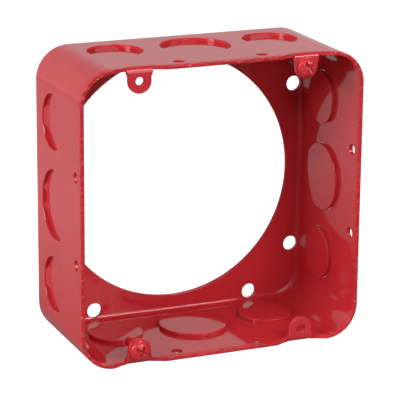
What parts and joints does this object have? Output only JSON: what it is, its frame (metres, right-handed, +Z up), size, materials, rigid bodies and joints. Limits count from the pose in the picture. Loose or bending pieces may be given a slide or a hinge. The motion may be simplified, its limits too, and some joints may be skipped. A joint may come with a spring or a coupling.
{
  "type": "electrical box extension ring",
  "caption": "Square drawn-steel extension ring for a wiring box, painted red, with round back opening, knockout slugs, folded ears and cover screws.",
  "frame": {"origin": "centre of the ring's back face, which seats on the box behind it", "axes": "+X to the right and +Z up as seen from the open front, +Y to the back"},
  "size_m": [0.119, 0.0554, 0.119],
  "materials": {
    "red_enamel": "gloss red enamel on sheet steel",
    "red_enamel_screw": "gloss red enamel on steel screws"
  },
  "bodies": {
    "ring_body": {"ring_body": "red_enamel"},
    "knockout_top_left": {"knockout_top_left": "red_enamel"},
    "knockout_top_middle": {"knockout_top_middle": "red_enamel"},
    "knockout_top_right": {"knockout_top_right": "red_enamel"},
    "knockout_right_upper": {"knockout_right_upper": "red_enamel"},
    "knockout_right_middle": {"knockout_right_middle": "red_enamel"},
    "knockout_right_lower": {"knockout_right_lower": "red_enamel"},
    "knockout_bottom_left": {"knockout_bottom_left": "red_enamel"},
    "knockout_bottom_middle": {"knockout_bottom_middle": "red_enamel"},
    "knockout_bottom_right": {"knockout_bottom_right": "red_enamel"},
    "knockout_left_upper": {"knockout_left_upper": "red_enamel"},
    "knockout_left_middle": {"knockout_left_middle": "red_enamel"},
    "knockout_left_lower": {"knockout_left_lower": "red_enamel"},
    "cover_screw_top": {"cover_screw_top": "red_enamel_screw"},
    "cover_screw_bottom": {"cover_screw_bottom": "red_enamel_screw"}
  },
  "joints": [
    {"name": "knockout_top_left_push", "type": "slide", "parent": "ring_body", "child": "knockout_top_left", "axis": [0, 0, -1], "range_m": [0, 0.008]},
    {"name": "knockout_top_middle_push", "type": "slide", "parent": "ring_body", "child": "knockout_top_middle", "axis": [0, 0, -1], "range_m": [0, 0.008]},
    {"name": "knockout_top_right_push", "type": "slide", "parent": "ring_body", "child": "knockout_top_right", "axis": [0, 0, -1], "range_m": [0, 0.008]},
    {"name": "knockout_right_upper_push", "type": "slide", "parent": "ring_body", "child": "knockout_right_upper", "axis": [-1, 0, 0], "range_m": [0, 0.008]},
    {"name": "knockout_right_middle_push", "type": "slide", "parent": "ring_body", "child": "knockout_right_middle", "axis": [-1, 0, 0], "range_m": [0, 0.008]},
    {"name": "knockout_right_lower_push", "type": "slide", "parent": "ring_body", "child": "knockout_right_lower", "axis": [-1, 0, 0], "range_m": [0, 0.008]},
    {"name": "knockout_bottom_left_push", "type": "slide", "parent": "ring_body", "child": "knockout_bottom_left", "axis": [0, 0, 1], "range_m": [0, 0.008]},
    {"name": "knockout_bottom_middle_push", "type": "slide", "parent": "ring_body", "child": "knockout_bottom_middle", "axis": [0, 0, 1], "range_m": [0, 0.008]},
    {"name": "knockout_bottom_right_push", "type": "slide", "parent": "ring_body", "child": "knockout_bottom_right", "axis": [0, 0, 1], "range_m": [0, 0.008]},
    {"name": "knockout_left_upper_push", "type": "slide", "parent": "ring_body", "child": "knockout_left_upper", "axis": [1, 0, 0], "range_m": [0, 0.008]},
    {"name": "knockout_left_middle_push", "type": "slide", "parent": "ring_body", "child": "knockout_left_middle", "axis": [1, 0, 0], "range_m": [0, 0.008]},
    {"name": "knockout_left_lower_push", "type": "slide", "parent": "ring_body", "child": "knockout_left_lower", "axis": [1, 0, 0], "range_m": [0, 0.008]},
    {"name": "cover_screw_top_back_out", "type": "slide", "parent": "ring_body", "child": "cover_screw_top", "axis": [0, -1, 0], "range_m": [0, 0.008]},
    {"name": "cover_screw_bottom_back_out", "type": "slide", "parent": "ring_body", "child": "cover_screw_bottom", "axis": [0, -1, 0], "range_m": [0, 0.008]}
  ]
}
